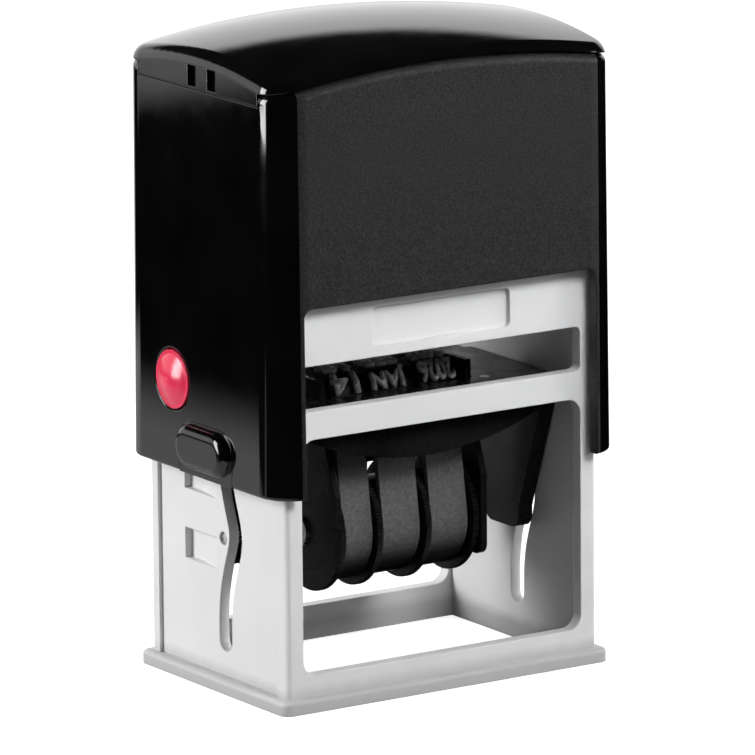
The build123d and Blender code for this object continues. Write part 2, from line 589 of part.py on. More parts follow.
# Pivot caps: a plate that fills the slot, a proud domed pill, and the pin's pocket inside
for side, name in ((-1, "pivot_cap_left"), (1, "pivot_cap_right")):
    with BuildPart() as pivot_cap:
        with BuildSketch(Plane.YZ.offset(side * HOUSING_INNER_HALF)):
            with BuildLine():
                Polyline((CAP_Y - CAP_LENGTH / 2, HOUSING_BOTTOM), (CAP_Y - CAP_LENGTH / 2, CAP_TOP),
                         (CAP_Y + CAP_LENGTH / 2, CAP_TOP), (CAP_Y + CAP_LENGTH / 2, HOUSING_BOTTOM),
                         close=True)
            plate_face = make_face()
            fillet(plate_face.vertices().group_by(Axis.Y)[-1], CAP_CORNER)
        extrude(amount=side * HOUSING_SIDE_WALL * 2)
        add(outer_form.part, mode=Mode.INTERSECT)
        with BuildSketch(Plane.YZ.offset(side * HOUSING_HALF)):
            with Locations((CAP_Y, CAP_TOP - CAP_PILL_INSET - CAP_PILL_HEIGHT / 2)):
                SlotOverall(CAP_LENGTH - 2 * CAP_PILL_INSET, CAP_PILL_HEIGHT)
        extrude(amount=side * CAP_PROUD)
        outer_face = pivot_cap.faces().sort_by(Axis.X)[-1 if side > 0 else 0]
        fillet(outer_face.edges(), CAP_EDGE)
        with BuildSketch(Plane.YZ.offset(side * HOUSING_INNER_HALF)):
            with Locations((PIVOT_Y - CRANK_RADIUS, PIVOT_Z)):
                Circle(CRANK_RADIUS + PIVOT_PIN_RADIUS + POCKET_CLEARANCE)
        extrude(amount=side * POCKET_DEPTH, mode=Mode.SUBTRACT)
    finish(pivot_cap, name)

# Lock buttons: a domed head inside a lip, guided in the wall, and a tongue that catches in the frame
LOCK_INNER = PANEL_FACE + LOCK_TRAVEL + LOCK_CLEARANCE
TONGUE_TIP = PANEL_FACE - RECESS_DEPTH + LOCK_CLEARANCE + LOCK_TRAVEL
LIP_FACE = HOUSING_HALF + LOCK_LIP
DOME_RISE = LOCK_PROUD - LOCK_LIP
DOME_RADIUS = ((LOCK_RADIUS - LOCK_LIP_WIDTH) ** 2 + DOME_RISE ** 2) / (2 * DOME_RISE)
for side, name in ((-1, "lock_button_left"), (1, "lock_button_right")):
    with BuildPart() as lock_button:
        with BuildSketch(Plane(origin=(0, LOCK_Y, LOCK_Z), x_dir=(side, 0, 0), z_dir=(0, 0, side))):
            with BuildLine():
                dome_foot = LOCK_RADIUS - LOCK_LIP_WIDTH
                Polyline((LIP_FACE, dome_foot), (LIP_FACE, LOCK_RADIUS), (LOCK_INNER, LOCK_RADIUS),
                         (LOCK_INNER, 0), (HOUSING_HALF + LOCK_PROUD, 0))
                RadiusArc((HOUSING_HALF + LOCK_PROUD, 0), (LIP_FACE, dome_foot), -DOME_RADIUS)
            make_face()
        revolve(axis=Axis((0, LOCK_Y, LOCK_Z), (1, 0, 0)), revolution_arc=360)
        with BuildSketch(Plane.YZ.offset(side * TONGUE_TIP)):
            with Locations((LOCK_Y, LOCK_Z)):
                Rectangle(TONGUE_WIDTH, TONGUE_HEIGHT)
        extrude(amount=side * (LOCK_INNER - TONGUE_TIP + LOCK_CLEARANCE))
    finish(lock_button, name)

# Pivot pins, from the pocket of the pivot cap through the wave slot into the carrier's cheek
PIVOT_PIN_INNER = CHEEK_OUTER - PIVOT_SOCKET_DEPTH + PIVOT_PIN_END_GAP
for side, name in ((-1, "pivot_pin_left"), (1, "pivot_pin_right")):
    with BuildPart() as pivot_pin:
        with BuildSketch(Plane.YZ.offset(side * PIVOT_PIN_INNER)):
            with Locations((PIVOT_Y, PIVOT_Z)):
                Circle(PIVOT_PIN_RADIUS)
        extrude(amount=side * (HOUSING_INNER_HALF + POCKET_DEPTH - PIN_TIP_GAP - PIVOT_PIN_INNER))
        with BuildSketch(Plane.YZ.offset(side * (FRAME_HALF + HOUSING_INNER_HALF - PIN_COLLAR) / 2)):
            with Locations((PIVOT_Y, PIVOT_Z)):
                Circle(PIN_COLLAR_RADIUS)
        extrude(amount=side * PIN_COLLAR)
    finish(pivot_pin, name)

# Carrier: platform, front and back aprons, and a cheek at each end with the turning pin's groove
with BuildPart() as carrier_body:
    with BuildSketch(Plane.XY.offset(PLATFORM_UNDERSIDE)):
        with Locations((0, PIVOT_Y)):
            RectangleRounded(PLATFORM_WIDTH, PLATFORM_DEPTH, PLATFORM_CORNER)
    extrude(amount=PLATFORM_THICKNESS)
    for end in (-1, 1):
        apron_y = PIVOT_Y + end * (PLATFORM_DEPTH / 2 - APRON_INSET)
        with BuildSketch(Plane.XZ.offset(-apron_y)):
            with BuildLine():
                bow = ThreePointArc((-APRON_HALF, PLATFORM_UNDERSIDE - APRON_DROP_END),
                                    (0, PLATFORM_UNDERSIDE - APRON_DROP_MIDDLE),
                                    (APRON_HALF, PLATFORM_UNDERSIDE - APRON_DROP_END))
                Polyline(bow @ 1, (APRON_HALF, PLATFORM_UNDERSIDE), (-APRON_HALF, PLATFORM_UNDERSIDE),
                         bow @ 0)
            make_face()
        extrude(amount=end * APRON_THICKNESS)
    for side in (-1, 1):
        with BuildSketch(Plane.YZ.offset(side * CHEEK_OUTER)):
            with BuildLine():
                Polyline((PIVOT_Y - CHEEK_TOP_HALF, PLATFORM_TOP),
                         (PIVOT_Y - CHEEK_TOP_HALF, PLATFORM_UNDERSIDE),
                         (PIVOT_Y - CHEEK_TOE_HALF, CHEEK_TOE_Z),
                         (PIVOT_Y - CHEEK_TOE_HALF, CHEEK_BOTTOM),
                         (PIVOT_Y + CHEEK_TOE_HALF, CHEEK_BOTTOM),
                         (PIVOT_Y + CHEEK_TOE_HALF, CHEEK_TOE_Z),
                         (PIVOT_Y + CHEEK_TOP_HALF, PLATFORM_UNDERSIDE),
                         (PIVOT_Y + CHEEK_TOP_HALF, PLATFORM_TOP), close=True)
            cheek_face = make_face()
            fillet(cheek_face.vertices().group_by(Axis.Y)[0], CHEEK_ROUND)
        extrude(amount=-side * CHEEK_THICKNESS)
        # The groove is every place that the turning pin takes as the carrier flips over it
        with BuildSketch(Plane.YZ.offset(side * CHEEK_OUTER)):
            stations = [STROKE * step / GROOVE_STEPS for step in range(GROOVE_STEPS + 1)]
            route = [turning_pin_in_carrier(stroke) for stroke in stations]
            with BuildLine():
                Polyline(*route, close=True)
            make_face()
            for start, end_point in zip(route, route[1:]):
                with BuildLine():
                    Line(start, end_point)
                trace(line_width=2 * (TURN_PIN_RADIUS + GROOVE_CLEARANCE))
            with Locations(*route):
                Circle(TURN_PIN_RADIUS + GROOVE_CLEARANCE)
            with Locations((route[0][0], (route[0][1] + CHEEK_BOTTOM) / 2)):
                Rectangle(2 * (TURN_PIN_RADIUS + GROOVE_CLEARANCE), route[0][1] - CHEEK_BOTTOM)
        extrude(amount=-side * GROOVE_DEPTH, mode=Mode.SUBTRACT)
        with BuildSketch(Plane.YZ.offset(side * CHEEK_OUTER)):
            with Locations((PIVOT_Y, PIVOT_Z)):
                Circle(PIVOT_PIN_RADIUS + RUNNING_FIT)
        extrude(amount=-side * PIVOT_SOCKET_DEPTH, mode=Mode.SUBTRACT)
    # Window for the date bands, and the bracket's screw holes
    with BuildSketch(Plane.XY.offset(PLATFORM_UNDERSIDE)):
        window_left = BRACKET_LEFT - BRACKET_THICKNESS - WINDOW_GAP
        window_right = BRACKET_RIGHT + BRACKET_THICKNESS + WINDOW_GAP
        with Locations(((window_left + window_right) / 2, PIVOT_Y)):
            RectangleRounded(window_right - window_left, 2 * WINDOW_HALF_DEPTH, PLATFORM_CORNER)
        for x in (BRACKET_LEFT - BRACKET_THICKNESS - FLANGE_REACH / 2,
                  BRACKET_RIGHT + BRACKET_THICKNESS + FLANGE_REACH / 2):
            for end in (-1, 1):
                with Locations((x, PIVOT_Y + end * SCREW_SPACING / 2)):
                    Circle(SCREW_RADIUS)
    extrude(amount=PLATFORM_THICKNESS, mode=Mode.SUBTRACT)
finish(carrier_body, "carrier_body")

# Date bracket: two side plates, a nose bar between them, and flanges screwed under the platform
with BuildPart() as date_bracket:
    for inner, outward in ((BRACKET_LEFT, -1), (BRACKET_RIGHT, 1)):
        with BuildSketch(Plane.YZ.offset(inner)):
            with BuildLine():
                Polyline((PIVOT_Y - BRACKET_HALF, BRACKET_BOTTOM),
                         (PIVOT_Y - BRACKET_HALF, BRACKET_SHOULDER_Z),
                         (PIVOT_Y - BRACKET_NECK_HALF, FLANGE_UNDERSIDE),
                         (PIVOT_Y - BRACKET_NECK_HALF, BRACKET_TOP),
                         (PIVOT_Y + BRACKET_NECK_HALF, BRACKET_TOP),
                         (PIVOT_Y + BRACKET_NECK_HALF, FLANGE_UNDERSIDE),
                         (PIVOT_Y + BRACKET_HALF, BRACKET_SHOULDER_Z),
                         (PIVOT_Y + BRACKET_HALF, BRACKET_BOTTOM), close=True)
            plate_face = make_face()
            fillet(plate_face.vertices().group_by(Axis.Y)[0], BRACKET_ROUND)
            fillet(plate_face.vertices().group_by(Axis.Y)[-1], BRACKET_ROUND)
            with Locations((PIVOT_Y, AXLE_Z)):
                Circle(AXLE_RADIUS, mode=Mode.SUBTRACT)
        extrude(amount=outward * BRACKET_THICKNESS)
        flange_x = inner + outward * (BRACKET_THICKNESS + FLANGE_REACH / 2)
        with BuildSketch(Plane.XY.offset(FLANGE_UNDERSIDE)):
            with Locations((inner + outward * (BRACKET_THICKNESS + FLANGE_REACH) / 2, PIVOT_Y)):
                Rectangle(BRACKET_THICKNESS + FLANGE_REACH, 2 * BRACKET_NECK_HALF)
            with Locations((flange_x, PIVOT_Y)):
                Rectangle(FLANGE_REACH, 2 * FLANGE_HALF)
            for end in (-1, 1):
                with Locations((flange_x, PIVOT_Y + end * SCREW_SPACING / 2)):
                    Circle(SCREW_RADIUS, mode=Mode.SUBTRACT)
        extrude(amount=FLANGE_THICKNESS)
    with BuildSketch(Plane.YZ.offset(BRACKET_LEFT)):
        for end in (-1, 1):
            with Locations((PIVOT_Y + end * NOSE_HALF_FLAT, NOSE_CENTRE_Z)):
                Circle(NOSE_ROUND - NOSE_GAP)
        nose_half = NOSE_HALF_FLAT + NOSE_ROUND - NOSE_GAP
        with Locations((PIVOT_Y, (NOSE_CENTRE_Z + NOSE_BAR_BOTTOM) / 2)):
            Rectangle(2 * nose_half, NOSE_CENTRE_Z - NOSE_BAR_BOTTOM)
        with Locations((PIVOT_Y, NOSE_CENTRE_Z)):
            Rectangle(2 * NOSE_HALF_FLAT, 2 * (NOSE_ROUND - NOSE_GAP))
    extrude(amount=BRACKET_RIGHT - BRACKET_LEFT)
finish(date_bracket, "date_bracket")

# Four bracket screws, as one group
with BuildPart() as bracket_screws:
    for x in (BRACKET_LEFT - BRACKET_THICKNESS - FLANGE_REACH / 2,
              BRACKET_RIGHT + BRACKET_THICKNESS + FLANGE_REACH / 2):
        for end in (-1, 1):
            spot = (x, PIVOT_Y + end * SCREW_SPACING / 2)
            with BuildSketch(Plane.XY.offset(FLANGE_UNDERSIDE - SCREW_HEAD)):
                with Locations(spot):
                    Circle(SCREW_HEAD_RADIUS)
            extrude(amount=SCREW_HEAD)
            with BuildSketch(Plane.XY.offset(FLANGE_UNDERSIDE)):
                with Locations(spot):
                    Circle(SCREW_RADIUS)
            extrude(amount=FLANGE_THICKNESS + PLATFORM_THICKNESS)
finish(bracket_screws, "bracket_screws")

# Wheel axle with a head at each end
with BuildPart() as wheel_axle:
    with BuildSketch(Plane.YZ.offset(BRACKET_LEFT - BRACKET_THICKNESS - AXLE_HEAD)):
        with Locations((PIVOT_Y, AXLE_Z)):
            Circle(AXLE_HEAD_RADIUS)
    extrude(amount=AXLE_HEAD)
    with BuildSketch(Plane.YZ.offset(BRACKET_LEFT - BRACKET_THICKNESS)):
        with Locations((PIVOT_Y, AXLE_Z)):
            Circle(AXLE_RADIUS)
    extrude(amount=BRACKET_RIGHT - BRACKET_LEFT + 2 * BRACKET_THICKNESS)
    with BuildSketch(Plane.YZ.offset(BRACKET_RIGHT + BRACKET_THICKNESS)):
        with Locations((PIVOT_Y, AXLE_Z)):
            Circle(AXLE_HEAD_RADIUS)
    extrude(amount=AXLE_HEAD)
finish(wheel_axle, "wheel_axle")

# The inside line of every date band: round its wheel's drum and over the nose bar
with BuildSketch(Plane.YZ) as band_loop:
    for end in (-1, 1):
        with Locations((PIVOT_Y + end * NOSE_HALF_FLAT, NOSE_CENTRE_Z)):
            Circle(NOSE_ROUND)
    with Locations((PIVOT_Y, AXLE_Z)):
        Circle(BAND_INNER_RADIUS)
    make_hull()

# Date wheels, each a drum with a knurled disc at its right, and their bands. The day's has a left disc too.
drum_left = WHEELS_LEFT
for name, left_disc, drum_width, band_width in zip(WHEEL_NAMES, LEFT_DISCS, DRUM_WIDTHS, BAND_WIDTHS):
    drum_left += left_disc
    with BuildPart() as date_wheel:
        with BuildSketch(Plane.YZ.offset(drum_left)):
            with Locations((PIVOT_Y, AXLE_Z)):
                Circle(DRUM_RADIUS)
                Circle(AXLE_RADIUS + RUNNING_FIT, mode=Mode.SUBTRACT)
        extrude(amount=drum_width)
        disc_places = [drum_left + drum_width]
        if left_disc:
            disc_places.append(drum_left - left_disc)
        for disc_x in disc_places:
            with BuildSketch(Plane.YZ.offset(disc_x)):
                with Locations((PIVOT_Y, AXLE_Z)):
                    # Squares turned a tooth at a time leave a rim of sharp teeth
                    for tooth in range(DISC_TEETH // TEETH_OF_A_SQUARE):
                        RegularPolygon(DISC_RADIUS, TEETH_OF_A_SQUARE, rotation=tooth * 360 / DISC_TEETH)
                    Circle(AXLE_RADIUS + RUNNING_FIT, mode=Mode.SUBTRACT)
            extrude(amount=DISC_THICKNESS)
    finish(date_wheel, f"date_wheel_{name}")
    with BuildPart() as date_band:
        with BuildSketch(Plane.YZ.offset(drum_left + (drum_width - band_width) / 2)):
            add(band_loop.sketch_local)
            offset(amount=BAND_THICKNESS)
            add(band_loop.sketch_local, mode=Mode.SUBTRACT)
        extrude(amount=band_width)
    finish(date_band, f"date_band_{name}")
    drum_left += drum_width + DISC_THICKNESS + WHEEL_GAP
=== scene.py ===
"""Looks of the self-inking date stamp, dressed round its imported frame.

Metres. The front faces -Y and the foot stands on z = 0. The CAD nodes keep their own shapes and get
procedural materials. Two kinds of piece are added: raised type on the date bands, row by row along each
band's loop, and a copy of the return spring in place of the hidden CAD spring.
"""
import json
import math

import bmesh
import bpy
from mathutils import Matrix, Vector


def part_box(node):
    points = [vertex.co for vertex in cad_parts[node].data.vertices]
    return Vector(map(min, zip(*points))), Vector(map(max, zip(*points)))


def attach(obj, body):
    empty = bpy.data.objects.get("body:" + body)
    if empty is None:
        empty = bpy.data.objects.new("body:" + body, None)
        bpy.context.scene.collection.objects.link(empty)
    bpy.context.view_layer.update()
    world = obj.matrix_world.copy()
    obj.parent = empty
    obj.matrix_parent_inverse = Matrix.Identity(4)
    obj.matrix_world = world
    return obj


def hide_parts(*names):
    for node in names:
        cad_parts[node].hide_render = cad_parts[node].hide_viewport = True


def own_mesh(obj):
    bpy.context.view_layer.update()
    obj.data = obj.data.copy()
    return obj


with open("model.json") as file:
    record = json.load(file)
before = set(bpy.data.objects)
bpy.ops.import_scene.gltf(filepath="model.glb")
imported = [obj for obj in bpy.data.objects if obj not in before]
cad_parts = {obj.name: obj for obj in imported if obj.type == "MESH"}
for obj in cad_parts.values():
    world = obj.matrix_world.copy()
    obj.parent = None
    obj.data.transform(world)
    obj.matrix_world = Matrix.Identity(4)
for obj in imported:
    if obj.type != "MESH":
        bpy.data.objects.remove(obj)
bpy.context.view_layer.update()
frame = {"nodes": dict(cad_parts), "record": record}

SCENE = bpy.context.scene
JOINTS = {joint["name"]: joint for joint in frame["record"]["behaviour"]["joints"]}

# The photograph's view. The sensor's width is in millimetres
IMAGE_SIZE = 755
SENSOR_WIDTH = 36.0
FOCAL_PIXELS = 8495.7
CAMERA_AZIMUTH = math.radians(-33.255)
CAMERA_ELEVATION = math.radians(12.65)
CAMERA_ROLL = math.radians(-0.5)
CAMERA_DISTANCE = 1.3478
CAMERA_TARGET = Vector((0, 0, 0.045))
CAMERA_SHIFT = (0.00088, 0.00142)
CLIP_NEAR = 0.05
CLIP_FAR = 50

# Places on the object that the materials follow. A pair is where a change starts and where it ends
PANEL_HALF = 0.02805
PANEL_DEPTH = 0.0209
PANEL_EDGE = 0.00012
# Painted shade: the frame's colour goes darker at the foot, below these heights, along a wavering edge
FOOT_PAINTED_SHADE = (0.0025, 0.0050)
FOOT_SHADE_WAVER = 0.001
# Ink and painted shade between the letters blacken the bands above these heights
NOSE_INK_AND_SHADE = (0.0452, 0.0464)
# Painted shade: the bands go black below these heights, where they run under the drum
DRUM_PAINTED_SHADE = (0.0185, 0.0240)
INK_AND_SHADE_WAVER = 0.0012

# The date bands' loop, seen along X: round a drum below and over a flat nose above
AXLE_Y, AXLE_Z = JOINTS["wheel_day_spin"]["pos_m"][1:]
DRUM_OUTER = 0.0085
NOSE_HALF_FLAT = 0.0017
NOSE_OUTER = 0.0036
NOSE_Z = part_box("date_band_day")[1].z - NOSE_OUTER

# The type on the bands. The row on the nose stands a little in front of the nose's middle
TYPE_RELIEF = 0.00075
TYPE_SINK = 0.00012
TYPE_SIZE = 0.0034
TYPE_FILL = 0.94
ROW_PITCH = 0.0043
NOSE_ROW = -0.0009
ROWS_IN_FRONT = 1
LETTER_STEPS = 3
LETTER_WEIGHT = 0.03
SAME_POINT = 1e-5

# Values that several materials share
PLASTIC_IOR = 1.5
EDGE_SAMPLES = 6
SCUFFED_FROM = 0.55
SCUFFED_FULLY = 0.8

# The floor: how it glows to the camera near the object and away from it, and what it throws back
FLOOR_HALF = 2.5
FLOOR_GLOW = (0.80, 1.0)
GLOW_GROWS = (0.12, 0.40)
FLOOR_BOUNCE = 0.16

# Painted reflections: zones where the floor glows to the gloss only, though no lamp lights it there. A pair
# is where an edge of a zone starts and ends its fade
BESIDE_LEFT = (-0.160, -0.125)
BESIDE_RIGHT = (-0.040, -0.030)
BESIDE_FRONT = (-0.105, -0.075)
BESIDE_BACK = (0.24, 0.30)
BESIDE_LEVEL = 0.8
BEHIND_LEFT = (-0.03, 0.0)
BEHIND_FRONT = (0.020, 0.045)
BEHIND_SLOPE = 0.8
BEHIND_CUT = (-0.03, 0.0)
STREAK_SLOPE = 0.389
STREAK_OFFSET = 0.011
STREAK_HALF = (0.004, 0.014)
STREAK_LEFT = (-0.29, -0.24)
STREAK_RIGHT = (-0.15, -0.13)
STREAK_LEVEL = 0.7
END_FRONT = (0.43, 0.47)
END_RIGHT = (-0.22, -0.18)
END_LEVEL = 0.9

# The world: a backdrop for the gloss, placed by the direction of the ray, and a soft light for the rest
BACKDROP_TONE = 0.8
BACKDROP_LEVELS = (0.006, 1.6)
BACKDROP_BEHIND = (0.15, 0.55)
BACKDROP_TOP = (0.34, 0.42)
ABOVE_BACKDROP = 0.004
SOFT_LEVEL = 0.16

# The key lamp's beam
KEY_SPREAD = math.radians(32)


def grey(level):
    """A colour with no hue."""
    return level, level, level


def opaque(colour):
    """A colour with its alpha, as a socket takes it. A link stays a link."""
    return (*colour, 1.0) if isinstance(colour, tuple) else colour


class Nodes:
    """Adds shader nodes to one node tree and links them."""

    def __init__(self, tree, output):
        self.tree = tree
        self.tree.nodes.clear()
        self.output = self.add(output)

    def add(self, kind, inputs=None, **settings):
        """One node. The settings are its properties, the inputs values or links by socket name or number."""
        node = self.tree.nodes.new(kind)
        for key, value in settings.items():
            setattr(node, key, value)
        for socket, value in (inputs or {}).items():
            if isinstance(value, bpy.types.NodeSocket):
                self.tree.links.new(value, node.inputs[socket])
            else:
                node.inputs[socket].default_value = value
        return node

    def show(self, shader):
        self.tree.links.new(shader, self.output.inputs["Surface"])

    def math(self, operation, first, second=0.0):
        return self.add("ShaderNodeMath", {0: first, 1: second}, operation=operation).outputs[0]

    def product(self, *values):
        result = values[0]
        for value in values[1:]:
            result = self.math("MULTIPLY", result, value)
        return result

    def parts(self, vector):
        """A vector's x, y and z."""
        split = self.add("ShaderNodeSeparateXYZ", {"Vector": vector})
        return split.outputs["X"], split.outputs["Y"], split.outputs["Z"]

    def spread(self, value, low, high, start=0.3, end=0.7, smooth=False):
        """A number that goes from low to high, and no further, while the value goes from start to end."""
        kind = "SMOOTHSTEP" if smooth else "LINEAR"
        inputs = {"Value": value, "From Min": start, "From Max": end, "To Min": low, "To Max": high}
        return self.add("ShaderNodeMapRange", inputs, interpolation_type=kind).outputs["Result"]

    def rise(self, value, edge, level=1.0, smooth=True):
        """From nothing up to a level over an edge."""
        return self.spread(value, 0.0, level, *edge, smooth=smooth)

    def fall(self, value, edge, level=1.0, smooth=True):
        """From a level down to nothing over an edge."""
        return self.spread(value, level, 0.0, *edge, smooth=smooth)

    def by_ray(self, kind, shader, otherwise):
        """One shader for a kind of ray, and another for the rest."""
        asked = self.add("ShaderNodeLightPath").outputs[kind]
        return self.add("ShaderNodeMixShader", {0: asked, 1: otherwise, 2: shader}).outputs[0]


class Shading(Nodes):
    """The nodes of one new material."""

    def __init__(self, name):
        self.material = bpy.data.materials.new(name)
        self.material.use_nodes = True
        super().__init__(self.material.node_tree, "ShaderNodeOutputMaterial")
        self.coordinates = self.add("ShaderNodeTexCoord").outputs["Object"]

    def place(self):
        """The object coordinates as x, y and z."""
        return self.parts(self.coordinates)

    def noise(self, scale, detail=3.0, roughness=0.5, stretch=(1, 1, 1)):
        """Noise over the object, with the scale in features per metre."""
        mapped = self.add("ShaderNodeMapping", {"Vector": self.coordinates, "Scale": stretch}).outputs[0]
        inputs = {"Vector": mapped, "Scale": scale, "Detail": detail, "Roughness": roughness}
        return self.add("ShaderNodeTexNoise", inputs).outputs["Fac"]

    def blend(self, factor, first, second):
        """A colour between two. The mix node's colours go by number, because their names repeat."""
        inputs = {0: factor, 6: opaque(first), 7: opaque(second)}
        return self.add("ShaderNodeMix", inputs, data_type="RGBA").outputs[2]

    def mix(self, factor, first, second):
        """A number between two."""
        return self.add("ShaderNodeMix", {0: factor, 2: first, 3: second}, data_type="FLOAT").outputs[0]

    def clouds(self, noise, first, second, start=0.3, end=0.7):
        """A colour that drifts between two as a noise does."""
        return self.blend(self.spread(noise, 0, 1, start, end), first, second)

    def scuffed(self, roughness, noise, most):
        """A roughness with scuffs on it where a noise is high."""
        scuffs = self.spread(noise, 0.0, most, SCUFFED_FROM, SCUFFED_FULLY)
        return self.math("ADD", roughness, scuffs)

    def wavering(self, value, noise, most):
        """A place that shifts by up to the most as a noise does, so that an edge there isn't ruled."""
        return self.math("ADD", value, self.math("MULTIPLY", noise, most))

    def bump(self, height, distance, strength=1.0, normal=None):
        inputs = {"Height": height, "Distance": distance, "Strength": strength}
        if normal is not None:
            inputs["Normal"] = normal
        return self.add("ShaderNodeBump", inputs).outputs["Normal"]

    def rounded_edges(self, radius):
        return self.add("ShaderNodeBevel", {"Radius": radius}, samples=EDGE_SAMPLES).outputs["Normal"]

    def finish(self, colour, roughness, normal=None, **fixed):
        """The surface shader. The fixed values are named as its own sockets, in small letters."""
        inputs = {"Base Color": opaque(colour), "Roughness": roughness}
        if normal is not None:
            inputs["Normal"] = normal
        for socket, value in fixed.items():
            inputs[socket.replace("_", " ").title().replace("Ior", "IOR")] = value
        self.show(self.add("ShaderNodeBsdfPrincipled", inputs).outputs["BSDF"])
        return self.material


def frame_plastic():
    """Light grey moulded plastic with a satin grain and softened edges, darkened by painted shade at the
    foot, where it meets the desk.
    """
    s = Shading("frame_grey_plastic")
    _, _, z = s.place()
    plain_tone = s.clouds(s.noise(60), (0.69, 0.69, 0.695), (0.75, 0.75, 0.755))
    # Painted shade darkens the bottom of the foot
    painted_foot_shade = s.fall(s.wavering(z, s.noise(300), FOOT_SHADE_WAVER), FOOT_PAINTED_SHADE)
    colour = s.blend(painted_foot_shade, plain_tone, grey(0.50))
    satin = s.spread(s.noise(350), 0.34, 0.44)
    roughness = s.scuffed(satin, s.noise(900, detail=2, roughness=0.6, stretch=(1, 1, 0.25)), most=0.06)
    grain = s.bump(s.noise(9000, detail=2), distance=0.00002, strength=0.35, normal=s.rounded_edges(0.00035))
    return s.finish(colour, roughness, grain, ior=PLASTIC_IOR, specular_ior_level=0.45)


def housing_plastic():
    """Glossy black moulding whose front and back have a fine satin grain, up over their rolled top edges."""
    s = Shading("housing_black_plastic")
    x, y, _ = s.place()
    across = s.fall(s.math("ABSOLUTE", x), (PANEL_HALF - PANEL_EDGE, PANEL_HALF + PANEL_EDGE))
    outward = s.rise(s.math("ABSOLUTE", y), (PANEL_DEPTH - PANEL_EDGE, PANEL_DEPTH + PANEL_EDGE),
                     smooth=False)
    panel = s.product(across, outward)
    polished = s.clouds(s.noise(90, detail=4), grey(0.0012), grey(0.0026))
    speckle = s.noise(2800, detail=4, roughness=0.75)
    mottled = s.clouds(speckle, grey(0.002), grey(0.036), start=0.38, end=0.68)
    gloss = s.spread(s.noise(220, detail=4), 0.03, 0.07)
    satin = s.spread(s.noise(2600), 0.40, 0.52)
    ripple = s.bump(s.noise(45, detail=1), distance=0.0002, strength=0.10, normal=s.rounded_edges(0.0003))
    grain_height = s.product(s.noise(4200, detail=4, roughness=0.7), panel)
    grain = s.bump(grain_height, distance=0.00010, strength=0.65, normal=ripple)
    return s.finish(s.blend(panel, polished, mottled), s.mix(panel, gloss, satin), grain, ior=PLASTIC_IOR)


def gloss_plastic(name, low, high, roughness, ripple=0.08, shine=0.5):
    """Polished moulded plastic with a faint flow ripple and dust-fine scuffs."""
    s = Shading(name)
    colour = s.clouds(s.noise(90, detail=4), low, high)
    polish = s.spread(s.noise(260), *roughness)
    scuffed = s.scuffed(polish, s.noise(1400, roughness=0.7), most=0.05)
    normal = s.bump(s.noise(60, detail=1), distance=0.0002, strength=ripple, normal=s.rounded_edges(0.0003))
    return s.finish(colour, scuffed, normal, ior=PLASTIC_IOR, specular_ior_level=shine)


def lock_plastic():
    """Glossy saturated red that lets a little light in."""
    s = Shading("lock_red_plastic")
    colour = s.clouds(s.noise(160), (0.66, 0.018, 0.060), (0.76, 0.030, 0.095))
    roughness = s.spread(s.noise(500), 0.16, 0.24)
    normal = s.bump(s.noise(260, detail=2), distance=0.0001, strength=0.08, normal=s.rounded_edges(0.0002))
    return s.finish(colour, roughness, normal, ior=PLASTIC_IOR, subsurface_weight=0.12,
                    subsurface_scale=0.001)


def band_rubber():
    """Dark grey rubber with a fine grain, blackened at the nose by ink and by painted shade between the
    letters, and by painted shade where it runs under the drum.
    """
    s = Shading("band_rubber")
    _, _, z = s.place()
    height = s.wavering(z, s.noise(900), INK_AND_SHADE_WAVER)
    # At the nose, ink and painted shade between the letters; under the drum, painted shade alone
    ink_and_painted_shade = s.math("MAXIMUM", s.rise(height, NOSE_INK_AND_SHADE, smooth=False), s.fall(height, DRUM_PAINTED_SHADE, level=0.9))
    plain_tone = s.clouds(s.noise(1800, detail=4, roughness=0.65), grey(0.06), grey(0.12))
    colour = s.blend(ink_and_painted_shade, plain_tone, grey(0.003))
    roughness = s.spread(s.noise(700), 0.30, 0.42)
    normal = s.bump(s.noise(4000), distance=0.00003, strength=0.4)
    return s.finish(colour, roughness, normal, ior=PLASTIC_IOR, specular_ior_level=0.3)


def type_rubber():
    """The type's rubber, painted paler than the band as a painted highlight on the raised letters, and
    stained darker here and there.
    """
    s = Shading("type_rubber")
    # Painted highlight: the letters are paler than the band they stand on
    colour = s.clouds(s.noise(700, detail=4, roughness=0.7), grey(0.12), grey(0.46), start=0.35, end=0.65)
    roughness = s.spread(s.noise(900), 0.45, 0.65)
    normal = s.bump(s.noise(5000), distance=0.00004, strength=0.5)
    return s.finish(colour, roughness, normal, ior=PLASTIC_IOR)


def matte_plastic(name, low, high):
    """Black plastic from a grained mould."""
    s = Shading(name)
    colour = s.clouds(s.noise(700), low, high)
    roughness = s.spread(s.noise(900), 0.34, 0.50)
    normal = s.bump(s.noise(5200), distance=0.00004, strength=0.4, normal=s.rounded_edges(0.0002))
    return s.finish(colour, roughness, normal, ior=PLASTIC_IOR, specular_ior_level=0.15)


def steel(name, stretch, low, high):
    """Drawn or turned steel, brushed along its length."""
    s = Shading(name)
    brushing = s.noise(1500, roughness=0.6, stretch=stretch)
    colour = s.clouds(brushing, low, high)
    roughness = s.spread(brushing, 0.18, 0.36)
    return s.finish(colour, roughness, s.bump(brushing, distance=0.00003, strength=0.4), metallic=1.0)


def felt():
    """Ink-soaked felt: a dense short nap, darker where the ink lies."""
    s = Shading("ink_felt")
    nap = s.noise(5200, detail=5, roughness=0.75)
    colour = s.clouds(s.noise(140), (0.010, 0.010, 0.022), (0.028, 0.028, 0.050))
    roughness = s.spread(nap, 0.78, 0.95)
    return s.finish(colour, roughness, s.bump(nap, distance=0.0003, strength=0.9), sheen_weight=0.3)


def card_stock():
    """Dark index card with a faint fibre."""
    s = Shading("index_card_stock")
    fibre = s.noise(2400, detail=4, roughness=0.7, stretch=(1, 0.2, 1))
    colour = s.clouds(fibre, (0.025, 0.025, 0.026), (0.045, 0.045, 0.047))
    return s.finish(colour, 0.75, s.bump(fibre, distance=0.00005, strength=0.4))


